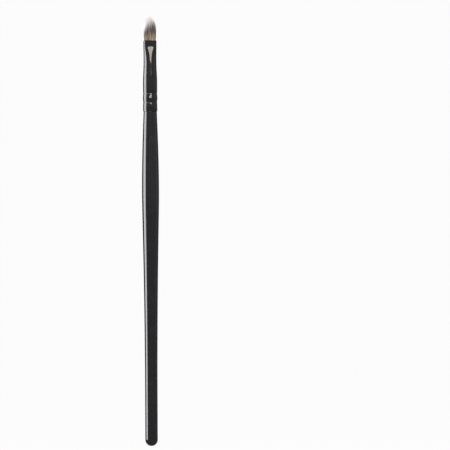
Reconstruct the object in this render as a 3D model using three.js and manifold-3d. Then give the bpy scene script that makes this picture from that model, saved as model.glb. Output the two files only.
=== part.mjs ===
// Lip brush: a turned handle, a crimped ferrule pressed oval at its mouth, and a pointed oval tuft.
// Millimetres. The brush is held upright, with its butt at the origin and its tip towards +Z.
// The shapes are turned about their own Y axis, with y = 0 at the rear edge of the ferrule,
// and the group that holds them stands that axis up.

import * as THREE from 'three';
import { mergeGeometries, mergeVertices } from 'three/addons/utils/BufferGeometryUtils.js';
import Module from 'manifold-3d';

const wasm = await Module();
wasm.setup();

const { clamp, lerp, smoothstep } = THREE.MathUtils;

// Handle: what shows behind the ferrule, and the tenon inside it
const handleLength = 133.8;
const bellyRadius = 3.415;
const bellyDistance = 31.5;
const bellyLength = 2.5;
const stemRadius = 2.51;
const stemLength = 21.8;
const buttRounding = 2.55;
const shoulderStep = 0.19;
const tenonLength = 11;
const tenonChamfer = 0.4;

// Ferrule: one drawn tube, straight over the tenon, then narrowed and pressed oval to its mouth
const ferruleLength = 28.4;
const ferruleRadius = 2.84;
const ferruleWall = 0.24;
const mouthRadius = 2.57;
const taperLength = 8.6;
const lipRounding = 0.16;

// Pressing: the round tube is flattened in front and behind, up to a parallel stretch at the mouth
const pressLength = 6;
const pressEase = 0.9;
const parallelLength = 2.9;
const mouthDepthRatio = 0.78;
const roundExponent = 2;
const mouthExponent = 3.6;
const squaringPower = 3;

// Crimp: two rolled grooves with a ridged bead between them
const crimpDistance = 5.36;
const crimpSpacing = 3.74;
const grooveHalfWidth = 0.7;
const grooveDepth = 0.1;
const beadHeight = 0.1;

// Tuft: exposed length, height of its widest place above the mouth, and half its width there
const tuftLength = 9.6;
const widestHeight = 3.5;
const tuftRadius = 2.45;
const hairRadius = 0.075;
const rootDepth = 4.5;

// Binding inside the ferrule
const sliceThickness = 1.2;
const rootSink = 0.6;
const threadDiameter = 0.2;
const tieWidth = 0.9;
const plugLength = 4;
const glueThickness = 0.12;
const seatClearance = 0.03;

// Curve shapes, as shares of the stretch that each curve spans
const shoulderEase = 0.57;
const bellyEase = 0.08;
const stemEase = 0.54;
const hairConvergence = 0.5;
const hairTaperPlace = 0.55;
const hairTaperRatio = 0.8;

// Facets: sides of every turned piece, steps along a curve, sides of a hair
const turnedSides = 32;
const curveSteps = 6;
const hairSides = 3;

// Hair rings round the middle hair, shared between layers that are bound one round the other.
// Each ring is turned a little from the one inside it, so that the hairs don't stand in rows.
const layers = [
  { name: 'hair_core', firstRing: 0, lastRing: 5, colour: 0xd9cfcf },
  { name: 'hair_inner', firstRing: 6, lastRing: 7, colour: 0xc9bcb8 },
  { name: 'hair_middle', firstRing: 8, lastRing: 9, colour: 0xb7a79c },
  { name: 'hair_outer', firstRing: 10, lastRing: 10, colour: 0x9a8a80 },
];
const hairsPerRingStep = 6;
const layerSpacing = 0.3;
const envelopeSpacing = 0.5;
const ringTwist = Math.PI * (3 - Math.sqrt(5));

// Places and fits that follow from the sizes above
const straightLength = tenonLength + tenonChamfer;
const grooveRadius = ferruleRadius - grooveDepth;
const glueOuterRadius = grooveRadius - ferruleWall - seatClearance;
const tenonRadius = glueOuterRadius - glueThickness - seatClearance;
const mouthBore = mouthRadius - ferruleWall;
const rootTop = ferruleLength - rootDepth;
const rootBottom = rootTop - sliceThickness;
const bundleRadius = mouthBore - 2 * seatClearance - threadDiameter;
const widestPlace = ferruleLength + widestHeight;
const domeLength = tuftLength - widestHeight;
const ringSpan = layers.at(-1).lastRing + layerSpacing * (layers.length - 1) + envelopeSpacing;

// Outer radius of the ferrule's plain tube, without its crimp
function tubeRadius(y) {
  return lerp(ferruleRadius, mouthRadius, smoothstep(y, straightLength, straightLength + taperLength));
}

// How far the tube is pressed, from 0 where it is round to 1 at the mouth: an even ramp with eased ends
function pressShare(y) {
  const place = (y - ferruleLength + parallelLength + pressLength) / pressLength;
  const ease = pressEase / pressLength;
  const rampArea = (x) => clamp(x, 0, 1) ** 2 / 2 + Math.max(x - 1, 0);
  return (rampArea(place + ease) - rampArea(place - ease)) / (2 * ease);
}

// Presses round pieces of the head: each cross-section becomes a flattened oval of the same width,
// and its faces turn flat late in the pressing
function pressOval(geometry) {
  const position = geometry.attributes.position;
  for (let i = 0; i < position.count; i += 1) {
    const x = position.getX(i);
    const z = position.getZ(i);
    const radius = Math.hypot(x, z);
    if (radius > 0) {
      const share = pressShare(position.getY(i));
      const exponent = lerp(roundExponent, mouthExponent, share ** squaringPower);
      const across = Math.abs(x / radius) ** exponent;
      const deep = Math.abs(z / radius / lerp(1, mouthDepthRatio, share)) ** exponent;
      const pressed = (across + deep) ** (-1 / exponent);
      position.setX(i, x * pressed);
      position.setZ(i, z * pressed);
    }
  }
  return geometry;
}

// Turns an outline of (radius, y) points about Y
function turn(points) {
  return new THREE.LatheGeometry(points, turnedSides);
}

// A turned ring with a constant inner radius and square ends
function turnRing(innerRadius, outerRadius, start, end) {
  return turn([
    new THREE.Vector2(innerRadius, start),
    new THREE.Vector2(outerRadius, start),
    new THREE.Vector2(outerRadius, end),
    new THREE.Vector2(innerRadius, end),
    new THREE.Vector2(innerRadius, start),
  ]);
}

// Evenly spaced values from start to end, both included
function steps(start, end, count) {
  return Array.from({ length: count + 1 }, (unused, i) => lerp(start, end, i / count));
}

function solidFrom(geometry) {
  geometry.deleteAttribute('normal');
  geometry.deleteAttribute('uv');
  const merged = mergeVertices(geometry);
  const corners = merged.index.array;
  const triangles = [];
  for (let i = 0; i < corners.length; i += 3) {
    const [a, b, c] = corners.slice(i, i + 3);
    if (a !== b && b !== c && c !== a) {
      triangles.push(a, b, c);
    }
  }
  return new wasm.Manifold(new wasm.Mesh({
    numProp: 3,
    vertProperties: Float32Array.from(merged.attributes.position.array),
    triVerts: Uint32Array.from(triangles),
  }));
}

function geometryFrom(solid) {
  const mesh = solid.getMesh();
  const geometry = new THREE.BufferGeometry();
  geometry.setAttribute('position', new THREE.BufferAttribute(mesh.vertProperties, mesh.numProp));
  geometry.setIndex(new THREE.BufferAttribute(mesh.triVerts, 1));
  return geometry;
}

function makePiece(name, geometry, finish) {
  geometry.computeVertexNormals();
  const piece = new THREE.Mesh(geometry, new THREE.MeshStandardMaterial(finish));
  piece.name = name;
  return piece;
}

// Handle: rounded butt, straight stem, long taper to the belly, shoulder, and tenon
function makeHandle() {
  const buttEnd = -handleLength;
  const stemEnd = buttEnd + stemLength;
  const bellyRear = -bellyDistance - bellyLength;
  const taper = bellyRear - stemEnd;
  const shoulder = -seatClearance;
  const shoulderRadius = ferruleRadius - shoulderStep;
  const outline = new THREE.Path();
  outline.moveTo(0, buttEnd);
  outline.absellipse(0, buttEnd + buttRounding, stemRadius, buttRounding, -Math.PI / 2, 0, false);
  outline.lineTo(stemRadius, stemEnd);
  outline.bezierCurveTo(
    stemRadius, stemEnd + stemEase * taper,
    bellyRadius, bellyRear - bellyEase * taper,
    bellyRadius, bellyRear,
  );
  outline.lineTo(bellyRadius, -bellyDistance);
  outline.quadraticCurveTo(bellyRadius, -shoulderEase * bellyDistance, shoulderRadius, shoulder);
  outline.lineTo(tenonRadius, shoulder);
  outline.lineTo(tenonRadius, tenonLength - tenonChamfer);
  outline.lineTo(tenonRadius - tenonChamfer, tenonLength);
  outline.lineTo(0, tenonLength);
  return makePiece('handle', turn(outline.getPoints(curveSteps)), {
    color: 0x1b1a1c,
    roughness: 0.16,
    metalness: 0,
  });
}

// Adhesive sleeve between the tenon and the ferrule's bore
function makeTenonGlue() {
  const sleeve = turnRing(tenonRadius + seatClearance, glueOuterRadius, 0, tenonLength - tenonChamfer);
  return makePiece('tenon_glue', sleeve, { color: 0xc9a25a, roughness: 0.4, metalness: 0 });
}

// Ferrule: the same outline outside and, one wall further in, inside
function makeFerrule() {
  const grooveRear = crimpDistance - crimpSpacing / 2;
  const grooveFront = crimpDistance + crimpSpacing / 2;
  const tube = [
    new THREE.Vector2(ferruleRadius, 0),
    new THREE.Vector2(ferruleRadius, grooveRear - grooveHalfWidth),
    new THREE.Vector2(grooveRadius, grooveRear),
    new THREE.Vector2(ferruleRadius + beadHeight, crimpDistance),
    new THREE.Vector2(grooveRadius, grooveFront),
    new THREE.Vector2(ferruleRadius, grooveFront + grooveHalfWidth),
  ];
  const taperEnd = straightLength + taperLength;
  const taper = steps(straightLength, taperEnd, curveSteps);
  const front = steps(taperEnd, ferruleLength - lipRounding, curveSteps).slice(1);
  tube.push(...[...taper, ...front].map((y) => new THREE.Vector2(tubeRadius(y), y)));
  const lip = new THREE.Path();
  lip.moveTo(mouthRadius, ferruleLength - lipRounding);
  lip.quadraticCurveTo(mouthRadius, ferruleLength, mouthRadius - lipRounding, ferruleLength);
  const bore = tube.map((point) => new THREE.Vector2(point.x - ferruleWall, point.y)).reverse();
  const outline = [
    ...tube,
    ...lip.getPoints(curveSteps / 2).slice(1),
    new THREE.Vector2(mouthBore, ferruleLength),
    ...bore,
    tube[0],
  ];
  return makePiece('ferrule', pressOval(turn(outline)), {
    color: 0x1d1c1e,
    roughness: 0.18,
    metalness: 0.3,
  });
}

// Plug of set glue that closes the bore behind the hair roots
function makeRootPlug() {
  const top = rootBottom - seatClearance;
  const side = steps(top - plugLength, top, curveSteps)
    .map((y) => new THREE.Vector2(tubeRadius(y) - ferruleWall - seatClearance, y));
  const outline = [
    new THREE.Vector2(0, top - plugLength),
    ...side,
    new THREE.Vector2(0, top),
  ];
  return makePiece('root_plug', pressOval(turn(outline)), {
    color: 0xb98a3c,
    roughness: 0.35,
    metalness: 0,
  });
}

// Thread wound round the roots of the bundle
function makeTieThread() {
  const middle = (rootTop + rootBottom) / 2;
  const inner = bundleRadius + seatClearance;
  const ring = turnRing(inner, inner + threadDiameter, middle - tieWidth / 2, middle + tieWidth / 2);
  return makePiece('tie_thread', pressOval(ring), { color: 0xe8e2d2, roughness: 0.9, metalness: 0 });
}

// Half-width of the bundle: bound at the roots, filling the mouth, widest above it, drawn in to the tip
function flowRadius(y) {
  const mouthFlow = mouthBore - seatClearance;
  if (y <= ferruleLength) {
    return lerp(bundleRadius, mouthFlow, (y - rootTop) / rootDepth);
  }
  if (y <= widestPlace) {
    return lerp(mouthFlow, tuftRadius, Math.sin((Math.PI / 2) * ((y - ferruleLength) / widestHeight)));
  }
  return tuftRadius * Math.sqrt(1 - hairConvergence * ((y - widestPlace) / domeLength) ** 2);
}

// Share of the bundle's half-width at which a ring of hairs stands
function ringShare(ring) {
  const layer = layers.findIndex(({ lastRing }) => ring <= lastRing);
  return (ring + layerSpacing * layer) / ringSpan;
}

// Place where a hair of this share meets the domed outline of the tuft
function hairEnd(share) {
  return widestPlace + domeLength * Math.sqrt((1 - share ** 2) / (1 - hairConvergence * share ** 2));
}

// One tapered hair that follows the bundle from its root to a point on the dome
function makeHair(share, angle) {
  const end = hairEnd(share);
  const sections = [
    { y: rootTop - rootSink, radius: hairRadius },
    { y: ferruleLength, radius: hairRadius },
    { y: lerp(ferruleLength, end, hairTaperPlace), radius: hairRadius * hairTaperRatio },
  ];
  const vertices = [];
  for (const { y, radius } of sections) {
    const reach = share * flowRadius(y);
    for (let side = 0; side < hairSides; side += 1) {
      const corner = (2 * Math.PI * side) / hairSides;
      const x = reach * Math.sin(angle) + radius * Math.sin(corner);
      const z = reach * Math.cos(angle) + radius * Math.cos(corner);
      vertices.push(x, y, z);
    }
  }
  const tipReach = share * flowRadius(end);
  vertices.push(tipReach * Math.sin(angle), end, tipReach * Math.cos(angle));

  const triangles = [0, 2, 1];
  for (let section = 0; section < sections.length; section += 1) {
    for (let side = 0; side < hairSides; side += 1) {
      const low = section * hairSides + side;
      const lowNext = section * hairSides + ((side + 1) % hairSides);
      if (section === sections.length - 1) {
        triangles.push(low, lowNext, sections.length * hairSides);
      } else {
        triangles.push(low, lowNext, low + hairSides);
        triangles.push(lowNext + hairSides, low + hairSides, lowNext);
      }
    }
  }
  const hair = new THREE.BufferGeometry();
  hair.setAttribute('position', new THREE.Float32BufferAttribute(vertices, 3));
  hair.setIndex(triangles);
  return hair;
}

// Slice of glue that a layer of hairs is set in: a disc for the core, a ring for the others
function makeSlice({ firstRing, lastRing }) {
  const middleBefore = bundleRadius * (ringShare(firstRing - 1) + ringShare(firstRing)) / 2;
  const middleAfter = bundleRadius * (ringShare(lastRing) + ringShare(lastRing + 1)) / 2;
  const outerRadius = lastRing === layers.at(-1).lastRing ? bundleRadius : middleAfter - seatClearance / 2;
  if (firstRing > 0) {
    return turnRing(middleBefore + seatClearance / 2, outerRadius, rootBottom, rootTop);
  }
  return turn([
    new THREE.Vector2(0, rootBottom),
    new THREE.Vector2(outerRadius, rootBottom),
    new THREE.Vector2(outerRadius, rootTop),
    new THREE.Vector2(0, rootTop),
  ]);
}

// One layer of the tuft: its rings of hairs fused to its slice
function makeHairLayer(layer) {
  const hairs = [];
  for (let ring = layer.firstRing; ring <= layer.lastRing; ring += 1) {
    const count = Math.max(1, hairsPerRingStep * ring);
    for (let i = 0; i < count; i += 1) {
      hairs.push(makeHair(ringShare(ring), (2 * Math.PI * i) / count + ringTwist * ring));
    }
  }
  const fused = solidFrom(mergeGeometries(hairs)).add(solidFrom(makeSlice(layer)));
  return makePiece(layer.name, pressOval(geometryFrom(fused)), {
    color: layer.colour,
    roughness: 0.7,
    metalness: 0,
  });
}

const lipBrush = new THREE.Group();
lipBrush.name = 'lip_brush';
lipBrush.rotation.x = Math.PI / 2;
lipBrush.position.z = handleLength;
lipBrush.add(
  makeHandle(),
  makeTenonGlue(),
  makeFerrule(),
  makeRootPlug(),
  makeTieThread(),
  ...layers.map(makeHairLayer),
);

export default lipBrush;
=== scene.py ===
"""Studio scene of a lip brush: lacquered handle, crimped ferrule and a two-toned pointed tuft.

Sizes are in millimetres until a mesh is finished, and heights are measured from the end of the butt.
"""

import logging
import math
import random
from dataclasses import dataclass
from enum import Enum

import bmesh
import bpy
from mathutils import Color, Matrix, Quaternion, Vector
from mathutils.geometry import interpolate_bezier


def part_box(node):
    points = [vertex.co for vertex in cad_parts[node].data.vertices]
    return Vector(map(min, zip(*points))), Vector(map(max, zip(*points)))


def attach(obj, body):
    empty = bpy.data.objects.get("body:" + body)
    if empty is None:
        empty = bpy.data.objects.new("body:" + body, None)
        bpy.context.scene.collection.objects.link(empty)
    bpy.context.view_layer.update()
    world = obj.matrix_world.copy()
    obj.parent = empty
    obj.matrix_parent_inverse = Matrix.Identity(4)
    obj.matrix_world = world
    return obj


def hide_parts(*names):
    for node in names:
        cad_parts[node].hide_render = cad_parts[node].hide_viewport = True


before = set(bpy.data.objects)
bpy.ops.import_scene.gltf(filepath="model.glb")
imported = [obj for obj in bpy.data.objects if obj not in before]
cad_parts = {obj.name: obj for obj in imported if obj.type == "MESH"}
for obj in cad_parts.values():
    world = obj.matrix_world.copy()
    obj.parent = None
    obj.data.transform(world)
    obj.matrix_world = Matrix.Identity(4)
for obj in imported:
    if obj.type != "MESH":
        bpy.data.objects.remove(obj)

LOG = logging.getLogger("lip_brush")
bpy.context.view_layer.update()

MM = 0.001
GOLDEN_ANGLE = math.pi * (3.0 - math.sqrt(5.0))
TURNED_SIDES = 128
SHARP_ANGLE = math.radians(32.0)
MERGE_DISTANCE = 1e-5
RING_TOLERANCE = 1e-4
ROUNDING_SEGMENTS = 3
QUADRATIC_SHARE = 2.0 / 3.0

# Finishes: scales are per metre, and a wave texture runs through BAND_RADIANS of phase in one unit
SMUDGE_SCALE = 260.0
SMUDGE_LIMITS = (0.42, 0.7)
WAVE_SCALE = 150.0
PEEL_SCALE = 2400.0
LACQUER_IOR = 1.5
FIBRE_SCALE = 40.0
BAND_RADIANS = 20.0
WHITE = (1.0, 1.0, 1.0, 1.0)

Colour = tuple[float, float, float, float]
Stops = tuple[tuple[float, Colour], ...]


def srgb(red: int, green: int, blue: int) -> Colour:
    """Linear colour of an sRGB value from 0 to 255."""
    return (*Color((red / 255, green / 255, blue / 255)).from_srgb_to_scene_linear(), 1.0)


def lerp(start: float, end: float, share: float) -> float:
    """Value at a share of the way from start to end."""
    return start + (end - start) * share


def smoothstep(low: float, high: float, value: float) -> float:
    """Eased rise from 0 at low to 1 at high."""
    share = min(max((value - low) / (high - low), 0.0), 1.0)
    return share * share * (3.0 - 2.0 * share)


def spaced(start: float, end: float, count: int) -> list[float]:
    """Evenly spaced values from start to end, both included."""
    return [lerp(start, end, i / (count - 1)) for i in range(count)]


def bend(start: Vector, corner: Vector, end: Vector, count: int) -> list[Vector]:
    """Points of a curve from start to end that leaves and arrives in line with corner.

    Args:
        start: First point.
        corner: Point that both end tangents run through.
        end: Last point.
        count: Number of points, with both ends.

    Returns:
        The points in order.
    """
    first = start.lerp(corner, QUADRATIC_SHARE)
    second = end.lerp(corner, QUADRATIC_SHARE)
    return interpolate_bezier(start, first, second, end, count)


def turn(outline: list[Vector], closed: bool) -> bmesh.types.BMesh:
    """Turns an outline of (radius, height) points about the brush's axis.

    Args:
        outline: Points in order along the outline.
        closed: Whether the last point joins the first, as on a ring.

    Returns:
        The turned mesh, with its seam and poles merged.
    """
    turned = bmesh.new()
    verts = [turned.verts.new((point.x, 0.0, point.y)) for point in outline]
    ends = verts[1:] + verts[:1] if closed else verts[1:]
    edges = [turned.edges.new(pair) for pair in zip(verts, ends)]
    bmesh.ops.spin(
        turned,
        geom=verts + edges,
        cent=(0.0, 0.0, 0.0),
        axis=(0.0, 0.0, 1.0),
        angle=math.tau,
        steps=TURNED_SIDES,
        use_merge=True,
    )
    bmesh.ops.remove_doubles(turned, verts=turned.verts, dist=MERGE_DISTANCE)
    bmesh.ops.recalc_face_normals(turned, faces=turned.faces)
    return turned


def round_rings(
    mesh: bmesh.types.BMesh,
    corners: list[Vector],
    offset: float,
    segments: int = ROUNDING_SEGMENTS,
) -> None:
    """Rounds the edge loops that run round a turned mesh at the given outline corners.

    Args:
        mesh: Turned mesh to change.
        corners: Outline points, as (radius, height), whose loops are rounded.
        offset: Width of the rounding on each side of a loop.
        segments: Number of faces across the rounding.
    """
    def on_corner(vert: bmesh.types.BMVert) -> bool:
        """Whether a vertex lies on one of the loops."""
        place = Vector((vert.co.xy.length, vert.co.z))
        return any((place - corner).length < RING_TOLERANCE for corner in corners)

    marked = {vert for vert in mesh.verts if on_corner(vert)}
    loops = [edge for edge in mesh.edges if marked.issuperset(edge.verts)]
    bmesh.ops.bevel(
        mesh,
        geom=loops,
        offset=offset,
        offset_type="OFFSET",
        affect="EDGES",
        segments=segments,
        profile=0.5,
        material=-1,
    )


def add_piece(
    name: str,
    mesh: bmesh.types.BMesh,
    material: bpy.types.Material,
) -> bpy.types.Object:
    """Makes a finished piece from a mesh in millimetres, standing for the CAD node of the same name.

    Args:
        name: Name of the CAD node that the piece replaces.
        mesh: Mesh of the piece, which is freed.
        material: Finish of the piece.

    Returns:
        The new object, riding on the one body.
    """
    bmesh.ops.scale(mesh, vec=(MM, MM, MM), verts=mesh.verts)
    for face in mesh.faces:
        face.smooth = True
    for edge in mesh.edges:
        edge.smooth = edge.calc_face_angle(0.0) < SHARP_ANGLE
    data = bpy.data.meshes.new(f"{name}_dressed")
    mesh.to_mesh(data)
    mesh.free()
    data.materials.append(material)
    piece = bpy.data.objects.new(f"{name}_dressed", data)
    bpy.context.scene.collection.objects.link(piece)
    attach(piece, "root")
    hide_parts(name)
    LOG.info("%s: %d faces", piece.name, len(data.polygons))
    return piece


def even_normals(piece: bpy.types.Object) -> bpy.types.Object:
    """Lets the large faces of a piece set its shading, so that roundings don't bend its reflections.

    Args:
        piece: Finished piece.

    Returns:
        The same piece.
    """
    weighting = piece.modifiers.new("even_normals", "WEIGHTED_NORMAL")
    weighting.mode = "FACE_AREA"
    weighting.keep_sharp = True
    return piece


class Graph:
    """Short calls that add and link the nodes of one node tree."""

    def __init__(self, tree: bpy.types.NodeTree) -> None:
        """Keeps the tree and empties it."""
        self.tree = tree
        tree.nodes.clear()

    def add(self, kind: str, sockets: dict | None = None, **settings: object) -> bpy.types.Node:
        """Adds a node.

        Args:
            kind: Node type.
            sockets: Values or source sockets, by input name or number.
            settings: Properties of the node.

        Returns:
            The new node.
        """
        node = self.tree.nodes.new(kind)
        for key, value in settings.items():
            setattr(node, key, value)
        for key, value in (sockets or {}).items():
            if isinstance(value, bpy.types.NodeSocket):
                self.tree.links.new(value, node.inputs[key])
            else:
                node.inputs[key].default_value = value
        return node

    def maths(self, operation: str, first: object, second: object) -> bpy.types.NodeSocket:
        """Result of a Math node on two values or sockets."""
        return self.add("ShaderNodeMath", {0: first, 1: second}, operation=operation).outputs[0]

    def ramp(self, source: bpy.types.NodeSocket, stops: Stops) -> bpy.types.NodeSocket:
        """Colour of a ramp.

        Args:
            source: Value from 0 to 1 that picks the place on the ramp.
            stops: Places and colours, in order.

        Returns:
            The ramp's colour socket.
        """
        node = self.add("ShaderNodeValToRGB", {"Fac": source})
        elements = node.color_ramp.elements
        while len(elements) < len(stops):
            elements.new(1.0)
        for element, (place, colour) in zip(elements, stops):
            element.position = place
            element.color = colour
        return node.outputs["Color"]

    def step(self, source: bpy.types.NodeSocket, zero_at: float, one_at: float) -> bpy.types.NodeSocket:
        """Eased mask that is 0 at one value of the source and 1 at the other."""
        sockets = {"Value": source, "From Min": zero_at, "From Max": one_at}
        return self.add("ShaderNodeMapRange", sockets, interpolation_type="SMOOTHSTEP").outputs["Result"]

    def mix(self, share: object, first: object, second: object) -> bpy.types.NodeSocket:
        """Colour between two colours.

        Args:
            share: Value or socket that is 0 for the first colour and 1 for the second.
            first: First colour or its socket.
            second: Second colour or its socket.

        Returns:
            The mixed colour's socket.
        """
        node = self.add("ShaderNodeMix", {"Factor": share}, data_type="RGBA")
        for index, value in ((6, first), (7, second)):
            if isinstance(value, bpy.types.NodeSocket):
                self.tree.links.new(value, node.inputs[index])
            else:
                node.inputs[index].default_value = value
        return node.outputs[2]


def new_material(name: str) -> tuple[bpy.types.Material, Graph]:
    """Starts a material.

    Args:
        name: Name of the material.

    Returns:
        The new material and its empty node graph.
    """
    material = bpy.data.materials.new(name)
    material.use_nodes = True
    return material, Graph(material.node_tree)


def polish_group() -> bpy.types.NodeTree:
    """Node group of a polished coat: where it is handled dull, and its slow waves with fine orange peel.

    Returns:
        The group, made on the first call.
    """
    name = "polished_coat"
    if name in bpy.data.node_groups:
        return bpy.data.node_groups[name]
    group = bpy.data.node_groups.new(name, "ShaderNodeTree")
    for socket, kind in (
        ("Vector", "NodeSocketVector"),
        ("Roughness", "NodeSocketFloat"),
        ("Dulling", "NodeSocketFloat"),
        ("Peel", "NodeSocketFloat"),
    ):
        group.interface.new_socket(socket, in_out="INPUT", socket_type=kind)
    for socket in ("Mask", "Roughness", "Height"):
        group.interface.new_socket(socket, in_out="OUTPUT", socket_type="NodeSocketFloat")
    graph = Graph(group)
    given = graph.add("NodeGroupInput").outputs
    place = given["Vector"]
    smudges = graph.add("ShaderNodeTexNoise", {"Vector": place, "Scale": SMUDGE_SCALE, "Detail": 4.0})
    mask = graph.step(smudges.outputs["Fac"], *SMUDGE_LIMITS)
    roughness = graph.maths("ADD", given["Roughness"], graph.maths("MULTIPLY", mask, given["Dulling"]))
    waves = graph.add("ShaderNodeTexNoise", {"Vector": place, "Scale": WAVE_SCALE, "Detail": 1.0})
    peel = graph.add("ShaderNodeTexNoise", {"Vector": place, "Scale": PEEL_SCALE, "Detail": 1.0})
    peeled = graph.maths("MULTIPLY", peel.outputs["Fac"], given["Peel"])
    height = graph.maths("ADD", waves.outputs["Fac"], peeled)
    graph.add("NodeGroupOutput", {"Mask": mask, "Roughness": roughness, "Height": height})
    return group


@dataclass(frozen=True)
class Lacquer:
    """Gloss black coat on wood or metal."""

    name: str
    deep: Colour
    worn: Colour
    roughness: float
    dulling: float
    peel: float
    wave_height: float

    def material(self) -> bpy.types.Material:
        """Material of the coat: two near blacks, uneven gloss and a slightly wavy surface.

        Returns:
            The new material.
        """
        material, graph = new_material(self.name)
        place = graph.add("ShaderNodeTexCoord").outputs["Object"]
        coat = graph.add("ShaderNodeGroup", node_tree=polish_group())
        graph.tree.links.new(place, coat.inputs["Vector"])
        coat.inputs["Roughness"].default_value = self.roughness
        coat.inputs["Dulling"].default_value = self.dulling
        coat.inputs["Peel"].default_value = self.peel
        colour = graph.mix(coat.outputs["Mask"], self.deep, self.worn)
        bump = graph.add(
            "ShaderNodeBump",
            {"Height": coat.outputs["Height"], "Distance": self.wave_height * MM, "Strength": 1.0},
        )
        shader = graph.add("ShaderNodeBsdfPrincipled", {
            "Base Color": colour,
            "Roughness": coat.outputs["Roughness"],
            "IOR": LACQUER_IOR,
            "Normal": bump.outputs["Normal"],
        })
        graph.add("ShaderNodeOutputMaterial", {"Surface": shader.outputs["BSDF"]})
        return material


@dataclass(frozen=True)
class TwoToneHair:
    """Dyed hair: white at its end, pale down its tip, dark below, and in places undyed at its root; on the
    tuft's left the pale tip is lengthened as painted sheen.
    """

    name: str
    end: Stops
    tip: Stops
    shank: Stops
    root: Stops
    end_fade: tuple[float, float]
    tip_fade: float
    root_fade: float
    strand_share: float
    roughness: float

    def material(self) -> bpy.types.Material:
        """Material that reads each hair's own lengths and tones.

        Returns:
            The new material.
        """
        material, graph = new_material(self.name)
        read = {
            name: graph.add("ShaderNodeAttribute", attribute_name=name).outputs["Fac"]
            for name in ("below_tip", "above_root", "lock_tone", "strand_tone")
        }
        lock_part = graph.maths("MULTIPLY", read["lock_tone"], 1.0 - self.strand_share)
        strand_part = graph.maths("MULTIPLY", read["strand_tone"], self.strand_share)
        tone = graph.maths("ADD", lock_part, strand_part)
        in_root = graph.step(read["above_root"], self.root_fade, -self.root_fade)
        in_tip = graph.step(read["below_tip"], self.tip_fade, -self.tip_fade)
        in_end = graph.step(read["below_tip"], *self.end_fade)
        colour = graph.mix(in_root, graph.ramp(tone, self.shank), graph.ramp(read["lock_tone"], self.root))
        colour = graph.mix(in_tip, colour, graph.ramp(tone, self.tip))
        colour = graph.mix(in_end, colour, graph.ramp(tone, self.end))
        shader = graph.add("ShaderNodeBsdfPrincipled", {"Base Color": colour, "Roughness": self.roughness})
        graph.add("ShaderNodeOutputMaterial", {"Surface": shader.outputs["BSDF"]})
        return material


@dataclass(frozen=True)
class SetGlue:
    """Amber glue that has set with a slightly uneven skin."""

    name: str
    colours: Stops
    grain: float
    skin_height: float
    roughness: float

    def material(self) -> bpy.types.Material:
        """Material with drifting amber tones and a dimpled skin.

        Returns:
            The new material.
        """
        material, graph = new_material(self.name)
        place = graph.add("ShaderNodeTexCoord").outputs["Object"]
        drift = graph.add("ShaderNodeTexNoise", {"Vector": place, "Scale": self.grain, "Detail": 5.0})
        bump = graph.add(
            "ShaderNodeBump",
            {"Height": drift.outputs["Fac"], "Distance": self.skin_height * MM, "Strength": 1.0},
        )
        shader = graph.add("ShaderNodeBsdfPrincipled", {
            "Base Color": graph.ramp(drift.outputs["Fac"], self.colours),
            "Roughness": graph.maths("MULTIPLY", drift.outputs["Fac"], self.roughness),
            "Normal": bump.outputs["Normal"],
        })
        graph.add("ShaderNodeOutputMaterial", {"Surface": shader.outputs["BSDF"]})
        return material


@dataclass(frozen=True)
class TieThread:
    """Cotton thread laid in turns, one above the other."""

    name: str
    colours: Stops
    diameter: float
    wobble: float
    turn_depth: float
    roughness: float

    def material(self) -> bpy.types.Material:
        """Material whose bands and bump are the turns of the thread.

        Returns:
            The new material.
        """
        material, graph = new_material(self.name)
        place = graph.add("ShaderNodeTexCoord").outputs["Object"]
        turns_scale = math.tau / (BAND_RADIANS * self.diameter * MM)
        turns = graph.add(
            "ShaderNodeTexWave",
            {"Vector": place, "Scale": turns_scale, "Distortion": self.wobble},
            bands_direction="Z",
        )
        bump = graph.add(
            "ShaderNodeBump",
            {"Height": turns.outputs["Fac"], "Distance": self.turn_depth * MM, "Strength": 1.0},
        )
        shader = graph.add("ShaderNodeBsdfPrincipled", {
            "Base Color": graph.ramp(turns.outputs["Fac"], self.colours),
            "Roughness": self.roughness,
            "Normal": bump.outputs["Normal"],
        })
        graph.add("ShaderNodeOutputMaterial", {"Surface": shader.outputs["BSDF"]})
        return material


@dataclass(frozen=True)
class PalePaper:
    """Pale studio paper that reads as a white ground, and keeps the shadows that fall on it."""

    name: str
    pulp: Stops
    glow: float
    mirrored_level: float

    def material(self) -> bpy.types.Material:
        """Material that is partly its own white to the camera, and as pale as the room in reflections.

        Returns:
            The new material.
        """
        material, graph = new_material(self.name)
        place = graph.add("ShaderNodeTexCoord").outputs["Object"]
        fibres = graph.add("ShaderNodeTexNoise", {"Vector": place, "Scale": FIBRE_SCALE, "Detail": 3.0})
        paper = graph.add("ShaderNodeBsdfDiffuse", {"Color": graph.ramp(fibres.outputs["Fac"], self.pulp)})
        path = graph.add("ShaderNodeLightPath").outputs
        mirrored = graph.maths("MAXIMUM", path["Is Glossy Ray"], path["Is Transmission Ray"])
        seen = graph.maths("MAXIMUM", path["Is Camera Ray"], mirrored)
        level = graph.maths("MULTIPLY", mirrored, self.mirrored_level)
        strength = graph.maths("MAXIMUM", path["Is Camera Ray"], level)
        white = graph.add("ShaderNodeEmission", {"Color": WHITE, "Strength": strength})
        mixed = graph.add("ShaderNodeMixShader", {
            0: graph.maths("MULTIPLY", seen, self.glow),
            1: paper.outputs["BSDF"],
            2: white.outputs["Emission"],
        })
        graph.add("ShaderNodeOutputMaterial", {"Surface": mixed.outputs["Shader"]})
        return material


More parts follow.
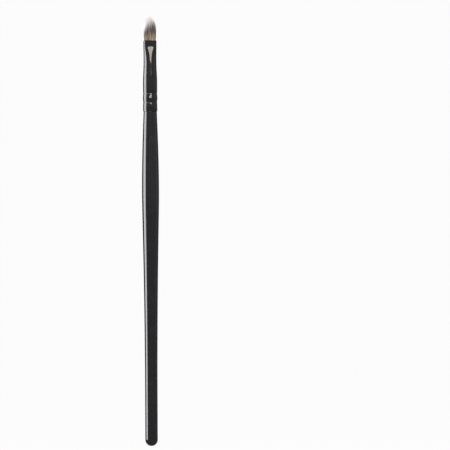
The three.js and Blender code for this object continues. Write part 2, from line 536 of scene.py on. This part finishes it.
HANDLE_LACQUER = Lacquer(
    name="handle_lacquer",
    deep=srgb(22, 21, 24),
    worn=srgb(27, 26, 29),
    roughness=0.07,
    dulling=0.03,
    peel=0.02,
    wave_height=0.004,
)
FERRULE_LACQUER = Lacquer(
    name="ferrule_lacquer",
    deep=srgb(22, 21, 23),
    worn=srgb(28, 27, 29),
    roughness=0.06,
    dulling=0.03,
    peel=0.02,
    wave_height=0.003,
)
TUFT_HAIR = TwoToneHair(
    name="two_tone_hair",
    end=((0.25, srgb(236, 232, 234)), (0.75, srgb(255, 254, 254))),
    tip=((0.25, srgb(112, 96, 108)), (0.5, srgb(192, 180, 190)), (0.75, srgb(240, 235, 238))),
    shank=(
        (0.2, srgb(24, 17, 22)),
        (0.35, srgb(66, 45, 30)),
        (0.44, srgb(31, 23, 26)),
        (0.56, srgb(86, 63, 45)),
        (0.68, srgb(46, 36, 40)),
        (0.9, srgb(176, 158, 152)),
    ),
    root=(
        (0.0, srgb(178, 146, 100)),
        (0.25, srgb(208, 180, 146)),
        (0.45, srgb(118, 90, 64)),
        (0.65, srgb(184, 186, 174)),
        (0.85, srgb(128, 116, 116)),
        (1.0, srgb(198, 168, 128)),
    ),
    end_fade=(-0.5, -1.9),
    tip_fade=0.7,
    root_fade=0.6,
    strand_share=0.5,
    roughness=0.4,
)
AMBER_GLUE = SetGlue(
    name="amber_glue",
    colours=((0.3, srgb(150, 98, 36)), (0.7, srgb(205, 156, 82))),
    grain=700.0,
    skin_height=0.05,
    roughness=0.6,
)
COTTON_THREAD = TieThread(
    name="cotton_thread",
    colours=((0.1, srgb(178, 168, 148)), (0.9, srgb(236, 230, 214))),
    diameter=0.2,
    wobble=0.6,
    turn_depth=0.2 / 3.0,
    roughness=0.9,
)
FLOOR_PAPER = PalePaper(
    name="floor_paper",
    pulp=((0.3, srgb(236, 236, 235)), (0.7, srgb(244, 244, 244))),
    glow=0.95,
    mirrored_level=0.29,
)
BACKDROP_PAPER = PalePaper(
    name="backdrop_paper",
    pulp=((0.3, srgb(238, 238, 237)), (0.7, srgb(246, 246, 246))),
    glow=0.95,
    mirrored_level=1.0,
)


@dataclass(frozen=True)
class Pressing:
    """Flattening of the round head, in front and behind, up to the ferrule's mouth."""

    mouth: float
    length: float = 6.7
    parallel: float = 2.5
    start_ease: float = 0.8
    end_ease: float = 0.35
    evenness: float = 0.68
    depth_ratio: float = 0.8
    exponent: float = 4.4
    squaring_power: float = 3.0

    def share(self, height: float) -> float:
        """How far the head is pressed at a height.

        Args:
            height: Height above the end of the butt.

        Returns:
            Share from 0 where the head is round to 1 at the mouth.
        """
        def soft_ramp(above: float, ease: float) -> float:
            """Height above the foot of a ramp whose foot is rounded over the ease on both sides."""
            return max(above, 0.0) if abs(above) > ease else (above + ease) ** 2 / (4.0 * ease)

        end = self.mouth - self.parallel
        start = end - self.length
        climbed = soft_ramp(height - start, self.start_ease) - soft_ramp(height - end, self.end_ease)
        even = climbed / self.length
        return even * lerp(even, 1.0, self.evenness)

    def press(self, point: Vector) -> Vector:
        """Moves a point of the round head.

        Args:
            point: Point before pressing.

        Returns:
            The place where the pressing leaves it.
        """
        radius = point.xy.length
        if radius == 0.0:
            return point
        share = self.share(point.z)
        exponent = lerp(2.0, self.exponent, share**self.squaring_power)
        across = abs(point.x / radius) ** exponent
        deep = abs(point.y / radius / lerp(1.0, self.depth_ratio, share)) ** exponent
        factor = (across + deep) ** (-1.0 / exponent)
        return Vector((point.x * factor, point.y * factor, point.z))


@dataclass
class Handle:
    """Turned handle: rounded butt, straight stem, long taper, belly, shoulder and hidden tenon."""

    length: float
    tenon_top: float
    butt_rounding: float = 2.55
    stem_radius: float = 2.51
    stem_length: float = 21.8
    stem_ease: float = 0.54
    belly_radius: float = 3.415
    belly_distance: float = 31.5
    belly_length: float = 2.5
    belly_ease: float = 0.08
    shoulder_radius: float = 2.65
    shoulder_ease: float = 0.57
    shoulder_rounding: float = 0.06
    seat_gap: float = 0.03
    tenon_radius: float = 2.29
    tenon_chamfer: float = 0.4
    rim_row: float = 0.9
    butt_points: int = 17
    curve_points: int = 33

    def outline(self) -> list[Vector]:
        """Outline of half the handle, as (radius, height) points.

        Returns:
            The points, from the middle of the butt to the middle of the tenon's end.
        """
        butt = [
            Vector((self.stem_radius * math.sin(angle), self.butt_rounding * (1.0 - math.cos(angle))))
            for angle in spaced(0.0, math.pi / 2.0, self.butt_points)
        ]
        belly_rear = self.length - self.belly_distance - self.belly_length
        taper_length = belly_rear - self.stem_length
        taper = interpolate_bezier(
            Vector((self.stem_radius, self.stem_length)),
            Vector((self.stem_radius, self.stem_length + self.stem_ease * taper_length)),
            Vector((self.belly_radius, belly_rear - self.belly_ease * taper_length)),
            Vector((self.belly_radius, belly_rear)),
            self.curve_points,
        )
        shoulder = bend(
            Vector((self.belly_radius, self.length - self.belly_distance)),
            Vector((self.belly_radius, self.length - self.shoulder_ease * self.belly_distance)),
            Vector((self.shoulder_radius, self.length - self.seat_gap)),
            self.curve_points,
        )
        shoulder.insert(-1, shoulder[-2].lerp(shoulder[-1], self.rim_row))
        tenon = [
            Vector((self.tenon_radius, self.length - self.seat_gap)),
            Vector((self.tenon_radius, self.tenon_top - self.tenon_chamfer)),
            Vector((self.tenon_radius - self.tenon_chamfer, self.tenon_top)),
            Vector((0.0, self.tenon_top)),
        ]
        return butt + taper + shoulder + tenon

    def build(self) -> bpy.types.Object:
        """Turns and lacquers the handle.

        Returns:
            The finished piece.
        """
        mesh = turn(self.outline(), closed=False)
        rim = Vector((self.shoulder_radius, self.length - self.seat_gap))
        round_rings(mesh, [rim], self.shoulder_rounding)
        return even_normals(add_piece("handle", mesh, HANDLE_LACQUER.material()))


@dataclass
class Ferrule:
    """Drawn tube with two rolled grooves and a ridged bead, narrowed and pressed oval at its mouth."""

    rear: float
    mouth: float
    pressing: Pressing
    radius: float = 2.84
    wall: float = 0.24
    mouth_radius: float = 2.57
    straight_length: float = 11.4
    taper_length: float = 8.6
    lip_chamfer: tuple[float, float] = (0.22, 0.24)
    crimp_distance: float = 5.36
    crimp_spacing: float = 3.74
    groove_half_width: float = 0.85
    groove_depth: float = 0.065
    notch_half_width: float = 0.09
    notch_depth: float = 0.045
    bead_height: float = 0.08
    bead_hollow: float = 0.25
    rim_rounding: float = 0.05
    notch_rounding: float = 0.012
    ridge_rounding: float = 0.04
    approach_rounding: float = 0.65
    approach_segments: int = 5
    flank_points: int = 7
    front_rings: int = 40

    def tube_radius(self, height: float) -> float:
        """Outer radius of the plain tube.

        Args:
            height: Height above the end of the butt.

        Returns:
            The radius, without the crimp.
        """
        taper_start = self.rear + self.straight_length
        return lerp(
            self.radius,
            self.mouth_radius,
            smoothstep(taper_start, taper_start + self.taper_length, height),
        )

    def crimp_starts(self) -> list[Vector]:
        """Outline points where the tube starts to turn into its two grooves.

        Returns:
            The rear point and the front one.
        """
        outside = self.crimp_spacing / 2.0 + self.groove_half_width
        bead = self.rear + self.crimp_distance
        return [Vector((self.radius, bead - outside)), Vector((self.radius, bead + outside))]

    def ridge(self) -> Vector:
        """Outline point of the bead's ridge."""
        return Vector((self.radius + self.bead_height, self.rear + self.crimp_distance))

    def groove(self, side: float) -> list[Vector]:
        """Outline points of one groove, which ends in a fine notch.

        Args:
            side: -1 for the groove behind the bead, 1 for the one in front of it.

        Returns:
            Both edges of the notch and its bottom, from rear to front.
        """
        radius = self.radius - self.groove_depth
        height = self.rear + self.crimp_distance + side * self.crimp_spacing / 2.0
        return [
            Vector((radius, height - self.notch_half_width)),
            Vector((radius - self.notch_depth, height)),
            Vector((radius, height + self.notch_half_width)),
        ]

    def flank(self, side: float) -> list[Vector]:
        """Outline points between a groove and the bead's ridge, on a slightly hollow curve.

        Args:
            side: -1 for the flank behind the ridge, 1 for the one in front of it.

        Returns:
            The points, from the groove to the ridge, without these two.
        """
        foot = self.groove(side)[0 if side > 0.0 else -1]
        middle = foot.lerp(self.ridge(), 0.5)
        middle.x = lerp(foot.x, self.ridge().x, self.bead_hollow)
        return bend(foot, middle, self.ridge(), self.flank_points)[1:-1]

    def outline(self) -> list[Vector]:
        """Closed outline of the tube's wall, as (radius, height) points.

        Returns:
            The points, up the outside, over the lip and down the bore.
        """
        starts = self.crimp_starts()
        taper_start = self.rear + self.straight_length
        front = spaced(taper_start, self.mouth - self.lip_chamfer[1], self.front_rings)
        outside = [
            Vector((self.radius, self.rear)),
            starts[0],
            *self.groove(-1.0),
            *self.flank(-1.0),
            self.ridge(),
            *reversed(self.flank(1.0)),
            *self.groove(1.0),
            starts[1],
            *[Vector((self.tube_radius(height), height)) for height in front],
        ]
        lip = [
            Vector((self.mouth_radius - self.lip_chamfer[0], self.mouth)),
            Vector((self.mouth_radius - self.wall, self.mouth)),
        ]
        bore = [Vector((point.x - self.wall, point.y)) for point in reversed(outside)]
        return outside + lip + bore

    def build(self) -> bpy.types.Object:
        """Turns, crimps, presses and lacquers the ferrule.

        Returns:
            The finished piece.
        """
        mesh = turn(self.outline(), closed=True)
        round_rings(mesh, [Vector((self.radius, self.rear))], self.rim_rounding)
        round_rings(mesh, self.crimp_starts(), self.approach_rounding, self.approach_segments)
        round_rings(mesh, [self.ridge()], self.ridge_rounding)
        for side in (-1.0, 1.0):
            round_rings(mesh, self.groove(side), self.notch_rounding)
        for vert in mesh.verts:
            vert.co = self.pressing.press(vert.co)
        return even_normals(add_piece("ferrule", mesh, FERRULE_LACQUER.material()))


class Layer(Enum):
    """Layers of the tuft, one round the other: CAD node, and the shares of the half-width it fills."""

    CORE = ("hair_core", 0.0, 0.496)
    INNER = ("hair_inner", 0.496, 0.697)
    MIDDLE = ("hair_middle", 0.697, 0.899)
    OUTER = ("hair_outer", 0.899, 1.0)

    @property
    def node(self) -> str:
        """Name of the layer's CAD node."""
        return self.value[0]

    @property
    def span(self) -> tuple[float, float]:
        """Shares of the tuft's half-width where the layer starts and ends."""
        return self.value[1], self.value[2]


@dataclass(frozen=True)
class Lock:
    """A lock of hairs that lean together: place on the unit disc, tone, shortfall and dyed stretch, with
    its pale tip lengthened on the tuft's left as painted sheen.
    """

    place: Vector
    tone: float
    shortfall: float
    tip_length: float
    root_height: float


@dataclass(frozen=True)
class Strand:
    """One hair: place on the unit disc, lock, tone, heights of its end and of its dyed stretch, whose top
    sits lower on the tuft's left as painted sheen, and bow.
    """

    place: Vector
    lock: Lock
    tone: float
    end: float
    dye_and_sheen_top: float
    dye_bottom: float
    bow: Vector


@dataclass
class Tuft:
    """Pointed oval tuft: fine hairs set in slices of glue, filling the mouth and drawn in to a tip."""

    mouth: float
    tip: float
    pressing: Pressing
    root_depth: float = 4.5
    root_sink: float = 0.6
    slice_thickness: float = 1.2
    slice_gap: float = 0.03
    bundle_radius: float = 2.07
    mouth_radius: float = 2.30
    radius: float = 2.45
    widest_height: float = 3.5
    convergence: float = 0.98
    bluntness: float = 2.25
    hair_count: int = 2800
    hair_radius: float = 0.034
    hair_sides: int = 3
    tip_thinning: float = 0.8
    thinning_span: tuple[float, float] = (0.5, 1.0)
    sections: tuple[float, ...] = (0.33, 0.46, 0.58, 0.69, 0.79, 0.9)
    lock_count: int = 700
    lock_pull: float = 0.5
    lock_shortfall: float = 0.25
    strand_shortfall: float = 0.8
    shortfall_power: int = 3
    outermost_share: float = 0.97
    bowing: float = 0.04
    tip_length: float = 2.5
    tip_scatter: float = 1.0
    # painted sheen: extra pale tip length on the tuft's left, and the span of x over which it rises
    left_sheen_gain: float = 3.2
    left_sheen_span: tuple[float, float] = (-0.35, -0.95)
    undyed_share: float = 0.55
    undyed_heights: tuple[float, float] = (0.4, 3.0)
    dye_scatter: float = 0.9
    seed: int = 20

    def flow_radius(self, height: float) -> float:
        """Half-width of the bundle, before pressing.

        Args:
            height: Height above the end of the butt.

        Returns:
            The half-width.
        """
        above = height - self.mouth
        if above <= 0.0:
            return lerp(self.mouth_radius, self.bundle_radius, -above / self.root_depth)
        if above <= self.widest_height:
            swell = math.sin(math.pi / 2.0 * above / self.widest_height)
            return lerp(self.mouth_radius, self.radius, swell)
        rise = (above - self.widest_height) / (self.tip - self.mouth - self.widest_height)
        return self.radius * math.sqrt(1.0 - self.convergence * rise**self.bluntness)

    def dome_height(self, share: float) -> float:
        """Height at which a hair meets the tuft's domed outline.

        Args:
            share: The hair's share of the half-width.

        Returns:
            The height.
        """
        widest = self.mouth + self.widest_height
        square = share**2
        rise = ((1.0 - square) / (1.0 - self.convergence * square)) ** (1.0 / self.bluntness)
        return lerp(widest, self.tip, rise)

    def sunflower(self, count: int, index: int) -> Vector:
        """Place of one of the points that spread evenly over the unit disc.

        Args:
            count: Number of points.
            index: Number of this point, from the middle out.

        Returns:
            The place.
        """
        share = math.sqrt((index + 0.5) / count)
        angle = index * GOLDEN_ANGLE
        return Vector((share * math.cos(angle), share * math.sin(angle)))

    def grow(self) -> list[Strand]:
        """Grows the whole tuft.

        Returns:
            The hairs, each in its nearest lock.
        """
        rng = random.Random(self.seed)
        locks = [self.new_lock(self.sunflower(self.lock_count, i), rng) for i in range(self.lock_count)]
        spacing = 1.0 / math.sqrt(self.hair_count)
        strands = []
        for i in range(self.hair_count):
            jitter = Vector((rng.uniform(-spacing, spacing), rng.uniform(-spacing, spacing)))
            place = self.sunflower(self.hair_count, i) + jitter / 2.0
            if place.length > self.outermost_share:
                place = place.normalized() * self.outermost_share
            lock = min(locks, key=lambda candidate: (candidate.place - place).length_squared)
            strands.append(self.new_strand(place, lock, rng))
        return strands

    def new_lock(self, place: Vector, rng: random.Random) -> Lock:
        """One lock; those on the left get a longer pale tip as painted sheen, and some are undyed above the
        mouth.

        Args:
            place: Its place on the unit disc.
            rng: Source of its chances.

        Returns:
            The lock.
        """
        # painted sheen: locks on the tuft's left get a longer pale tip, standing in for the sheen of the
        # lamp at the left
        side = self.left_sheen_gain * smoothstep(*self.left_sheen_span, place.x)
        tip_length = self.tip_length + side + self.tip_scatter * rng.uniform(-1.0, 1.0)
        undyed = rng.random() < self.undyed_share
        root_height = self.mouth + rng.uniform(*self.undyed_heights) if undyed else 0.0
        return Lock(place, rng.random(), rng.random() * self.lock_shortfall, tip_length, root_height)

    def new_strand(self, place: Vector, lock: Lock, rng: random.Random) -> Strand:
        """One hair of a lock.

        Args:
            place: Its place on the unit disc.
            lock: The lock it leans with.
            rng: Source of its chances.

        Returns:
            The hair.
        """
        shortfall = lock.shortfall + self.strand_shortfall * rng.random() ** self.shortfall_power
        end = self.dome_height(place.length) - shortfall
        dye_and_sheen_top = end - lock.tip_length + self.dye_scatter * rng.uniform(-1.0, 1.0)
        dye_bottom = lock.root_height + self.dye_scatter * rng.uniform(-1.0, 1.0)
        bow = Vector((rng.uniform(-1.0, 1.0), rng.uniform(-1.0, 1.0))) * self.bowing
        return Strand(place, lock, rng.random(), end, dye_and_sheen_top, dye_bottom, bow)

    def strand_point(self, strand: Strand, height: float) -> Vector:
        """Middle of a hair at a height.

        Args:
            strand: The hair.
            height: Height above the end of the butt.

        Returns:
            The point, after pressing.
        """
        rise = max(height - self.mouth, 0.0) / (strand.end - self.mouth)
        gathered = strand.place.lerp(strand.lock.place, self.lock_pull * rise**2)
        flowed = gathered * self.flow_radius(height) + strand.bow * math.sin(math.pi * rise)
        return self.pressing.press(Vector((flowed.x, flowed.y, height)))

    def template(self) -> bpy.types.Mesh:
        """One unit hair: a slim cone, cut across so that it can bend.

        Returns:
            Its mesh, one unit high.
        """
        cone = bmesh.new()
        bmesh.ops.create_cone(
            cone,
            cap_ends=True,
            segments=self.hair_sides,
            radius1=1.0,
            radius2=0.0,
            depth=1.0,
            matrix=Matrix.Translation((0.0, 0.0, 0.5)),
        )
        for place in self.sections:
            whole = [*cone.verts, *cone.edges, *cone.faces]
            bmesh.ops.bisect_plane(cone, geom=whole, plane_co=(0.0, 0.0, place), plane_no=(0.0, 0.0, 1.0))
        data = bpy.data.meshes.new("unit_hair")
        cone.to_mesh(data)
        cone.free()
        return data

    def slice_mesh(self, layer: Layer) -> bpy.types.Mesh:
        """Slice of glue that a layer of hairs is set in.

        Args:
            layer: The layer.

        Returns:
            The slice's mesh.
        """
        inner, outer = (share * self.bundle_radius for share in layer.span)
        inner_radius = inner + self.slice_gap / 2.0 if inner > 0.0 else 0.0
        outer_radius = outer - self.slice_gap / 2.0
        top = self.mouth - self.root_depth
        bottom = top - self.slice_thickness
        outline = [
            Vector((inner_radius, bottom)),
            Vector((outer_radius, bottom)),
            Vector((outer_radius, top)),
            Vector((inner_radius, top)),
        ]
        ring = turn(outline, closed=inner > 0.0)
        for vert in ring.verts:
            vert.co = self.pressing.press(vert.co)
        data = bpy.data.meshes.new("glue_slice")
        ring.to_mesh(data)
        ring.free()
        return data

    def layer_mesh(self, strands: list[Strand], hair: bpy.types.Mesh) -> bmesh.types.BMesh:
        """Hairs of one layer, each a copy of the unit hair bent along its own path.

        Args:
            strands: Hairs of the layer.
            hair: The unit hair.

        Returns:
            The mesh, with each hair's lengths and tones kept on its vertices.
        """
        mesh = bmesh.new()
        for _ in strands:
            mesh.from_mesh(hair)
        new_layer = mesh.verts.layers.float.new
        names = ("below_tip", "above_root", "lock_tone", "strand_tone")
        below_tip, above_root, lock_tone, strand_tone = (new_layer(name) for name in names)
        root = self.mouth - self.root_depth - self.root_sink
        hair_size = len(hair.vertices)
        for index, vert in enumerate(mesh.verts):
            strand = strands[index // hair_size]
            along = vert.co.z
            height = lerp(root, strand.end, along)
            thinned = self.tip_thinning * smoothstep(*self.thinning_span, along)
            thickness = self.hair_radius * (1.0 - thinned)
            side = vert.co.xy.normalized() * thickness
            vert.co = self.strand_point(strand, height) + Vector((side.x, side.y, 0.0))
            vert[below_tip] = strand.dye_and_sheen_top - height
            vert[above_root] = height - strand.dye_bottom
            vert[lock_tone] = strand.lock.tone
            vert[strand_tone] = strand.tone
        return mesh

    def build(self) -> list[bpy.types.Object]:
        """Builds the layers of the tuft in one hair finish.

        Returns:
            The finished pieces, from the core out.
        """
        material = TUFT_HAIR.material()
        hair = self.template()
        strands = self.grow()
        pieces = []
        for layer in Layer:
            low, high = layer.span
            inside = [strand for strand in strands if low <= strand.place.length < high]
            mesh = self.layer_mesh(inside, hair)
            mesh.from_mesh(self.slice_mesh(layer))
            pieces.append(add_piece(layer.node, mesh, material))
        return pieces


@dataclass
class Binding:
    """Hidden parts of the head that keep their CAD shape: two bodies of glue and the tie thread."""

    glue_nodes: tuple[str, ...] = ("tenon_glue", "root_plug")
    thread_node: str = "tie_thread"

    def build(self) -> None:
        """Dresses the CAD nodes."""
        glue = AMBER_GLUE.material()
        for node in self.glue_nodes:
            self.dress(node, glue)
        self.dress(self.thread_node, COTTON_THREAD.material())

    def dress(self, node: str, material: bpy.types.Material) -> None:
        """Gives one CAD node its finish.

        Args:
            node: Name of the node.
            material: Its finish.
        """
        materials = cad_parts[node].data.materials
        materials.clear()
        materials.append(material)
        LOG.info("%s: dressed in %s", node, material.name)


class Outline(Enum):
    """Outlines of a lamp's lit face."""

    SQUARED = "RECTANGLE"
    ROUNDED = "ELLIPSE"


class Reach(Enum):
    """What a lamp works on: everything, only matt surfaces, or only reflections in gloss."""

    ALL = "all"
    MATT = "matt"
    GLOSS = "gloss"


@dataclass(frozen=True)
class Panel:
    """A flat studio lamp, in metres: its middle, the point it faces, its size and its brightness."""

    name: str
    middle: tuple[float, float, float]
    facing: tuple[float, float, float]
    size: tuple[float, float]
    radiance: float
    colour: tuple[float, float, float]
    outline: Outline = Outline.SQUARED
    reach: Reach = Reach.ALL
    roll: float = 0.0

    def build(self) -> bpy.types.Object:
        """Adds the lamp, unseen by the camera.

        Returns:
            The lamp.
        """
        data = bpy.data.lights.new(self.name, "AREA")
        data.shape = self.outline.value
        data.size, data.size_y = self.size
        fill = math.pi / 4.0 if self.outline is Outline.ROUNDED else 1.0
        data.energy = self.radiance * math.pi * data.size * data.size_y * fill
        data.color = self.colour
        lamp = bpy.data.objects.new(self.name, data)
        direction = Vector(self.facing) - Vector(self.middle)
        lamp.location = self.middle
        aim = direction.to_track_quat("-Z", "Y") @ Quaternion((0.0, 0.0, 1.0), self.roll)
        lamp.rotation_euler = aim.to_euler()
        lamp.visible_camera = False
        lamp.visible_diffuse = self.reach is not Reach.GLOSS
        lamp.visible_glossy = self.reach is not Reach.MATT
        bpy.context.scene.collection.objects.link(lamp)
        LOG.info("%s: lamp of %.1f W", self.name, data.energy)
        return lamp


SOFTBOX = Panel(
    name="front_softbox",
    middle=(0.02, -1.39, 0.508),
    facing=(0.0, 0.0, 0.155),
    size=(1.3, 0.25),
    radiance=9.6,
    colour=(1.0, 0.93, 0.86),
    outline=Outline.ROUNDED,
    roll=math.radians(-10.0),
)
HIGH_STRIP = Panel(
    name="high_strip",
    middle=(-0.1, -0.62, 0.92),
    facing=(0.0, 0.0, 0.15),
    size=(1.5, 0.26),
    radiance=6.0,
    colour=(1.0, 1.0, 1.0),
    reach=Reach.GLOSS,
)
FILL = Panel(
    name="fill",
    middle=(0.15, -0.95, 0.7),
    facing=(0.0, 0.0, 0.12),
    size=(1.0, 0.8),
    radiance=2.2,
    colour=(1.0, 1.0, 1.0),
    reach=Reach.MATT,
)
STRIP_COOL = Panel(
    name="left_strip_front",
    middle=(-0.0368, -0.0107, 0.1066),
    facing=(0.0, -0.0107, 0.1031),
    size=(0.0092, 0.2136),
    radiance=10.8,
    colour=(0.93, 0.94, 1.0),
    reach=Reach.GLOSS,
)
STRIP_WARM = Panel(
    name="left_strip_rear",
    middle=(-0.0368, 0.0023, 0.1066),
    facing=(0.0, 0.0023, 0.1031),
    size=(0.0168, 0.2136),
    radiance=9.6,
    colour=(1.0, 0.97, 0.97),
    reach=Reach.GLOSS,
)


@dataclass
class Studio:
    """Pale ground and backdrop, soft lamps, surroundings and the camera, in metres.

    The camera and the lamps are turned together about the brush's axis, because the brush was
    photographed a few degrees off square to its flattened face.
    """

    swing: float = math.radians(-6.0)
    floor_reach: float = 1.0
    backdrop_distance: float = 2.5
    backdrop_half_size: tuple[float, float] = (0.35, 0.45)
    surroundings: tuple[tuple[float, float], ...] = ((0.36, 0.43), (0.4, 0.68), (0.82, 0.1), (1.0, 0.06))
    low_share: float = 0.72
    low_span: tuple[float, float] = (-0.035, 0.012)
    camera_place: tuple[float, float, float] = (0.02973, -2.0, 0.08828)
    camera_lean: float = math.radians(0.235)
    camera_lens: float = 400.0
    sensor_width: float = 36.0
    clip_end: float = 20.0

    def build(self) -> None:
        """Everything round the object."""
        swing = Matrix.Rotation(self.swing, 4, "Z")
        self.add_ground(swing)
        self.add_surroundings()
        lamps = [panel.build() for panel in (SOFTBOX, HIGH_STRIP, FILL, STRIP_COOL, STRIP_WARM)]
        for turned in (*lamps, self.add_camera()):
            turned.matrix_world = swing @ turned.matrix_basis

    def add_sheet(self, name: str, placing: Matrix, material: bpy.types.Material) -> bpy.types.Object:
        """Flat sheet of the stage.

        Args:
            name: Name of the sheet.
            placing: Turns a square from -1 to 1 into the sheet in its place.
            material: Finish of the sheet.

        Returns:
            The staged object.
        """
        sheet = bmesh.new()
        bmesh.ops.create_grid(sheet, x_segments=1, y_segments=1, size=1.0, matrix=placing)
        data = bpy.data.meshes.new(name)
        sheet.to_mesh(data)
        sheet.free()
        data.materials.append(material)
        piece = bpy.data.objects.new(name, data)
        bpy.context.scene.collection.objects.link(piece)
        return piece

    def add_ground(self, swing: Matrix) -> None:
        """Floor under the butt, and a backdrop far behind the brush.

        Args:
            swing: Turn of the studio about the brush.
        """
        reach = Matrix.Diagonal((self.floor_reach, self.floor_reach, 1.0, 1.0))
        self.add_sheet("floor", reach, FLOOR_PAPER.material())
        upright = Matrix.Rotation(math.pi / 2.0, 4, "X")
        stand = Matrix.Translation((self.camera_place[0], self.backdrop_distance, 0.0))
        shape = Matrix.Diagonal((*self.backdrop_half_size, 1.0, 1.0))
        self.add_sheet("backdrop", swing @ stand @ upright @ shape, BACKDROP_PAPER.material())

    def add_surroundings(self) -> None:
        """Soft light all round, brightest at both sides, dim behind the brush and a little dimmer below."""
        world = bpy.data.worlds.new("studio_surroundings")
        world.use_nodes = True
        graph = Graph(world.node_tree)
        direction = graph.add("ShaderNodeTexCoord").outputs["Generated"]
        axes = graph.add("ShaderNodeSeparateXYZ", {"Vector": direction}).outputs
        front_to_back = graph.add("ShaderNodeMapRange", {
            "Value": axes["Y"],
            "From Min": -1.0,
            "From Max": 1.0,
        })
        stops = tuple((place, (level, level, level, 1.0)) for place, level in self.surroundings)
        raised = graph.add("ShaderNodeMapRange", {
            "Value": axes["Z"],
            "From Min": self.low_span[0],
            "From Max": self.low_span[1],
            "To Min": self.low_share,
            "To Max": 1.0,
        })
        light = graph.add("ShaderNodeBackground", {
            "Color": graph.ramp(front_to_back.outputs["Result"], stops),
            "Strength": raised.outputs["Result"],
        })
        graph.add("ShaderNodeOutputWorld", {"Surface": light.outputs["Background"]})
        bpy.context.scene.world = world

    def add_camera(self) -> bpy.types.Object:
        """Adds the camera in front of the brush, level with its middle.

        Returns:
            The camera.
        """
        data = bpy.data.cameras.new("front_camera")
        data.lens = self.camera_lens
        data.sensor_width = self.sensor_width
        data.clip_end = self.clip_end
        camera = bpy.data.objects.new("front_camera", data)
        camera.location = self.camera_place
        camera.rotation_euler = (math.pi / 2.0, self.camera_lean, 0.0)
        bpy.context.scene.collection.objects.link(camera)
        bpy.context.scene.camera = camera
        return camera


def main() -> None:
    """Builds the brush and its studio."""
    logging.basicConfig(level=logging.INFO, format="%(name)s: %(message)s")
    ferrule_low, ferrule_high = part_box("ferrule")
    rear = ferrule_low.z / MM
    mouth = ferrule_high.z / MM
    pressing = Pressing(mouth)
    Handle(rear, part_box("handle")[1].z / MM).build()
    Ferrule(rear, mouth, pressing).build()
    Tuft(mouth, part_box("hair_core")[1].z / MM, pressing).build()
    Binding().build()
    Studio().build()
    bpy.context.scene.view_settings.view_transform = "Standard"


if __name__ == "__main__":
    main()
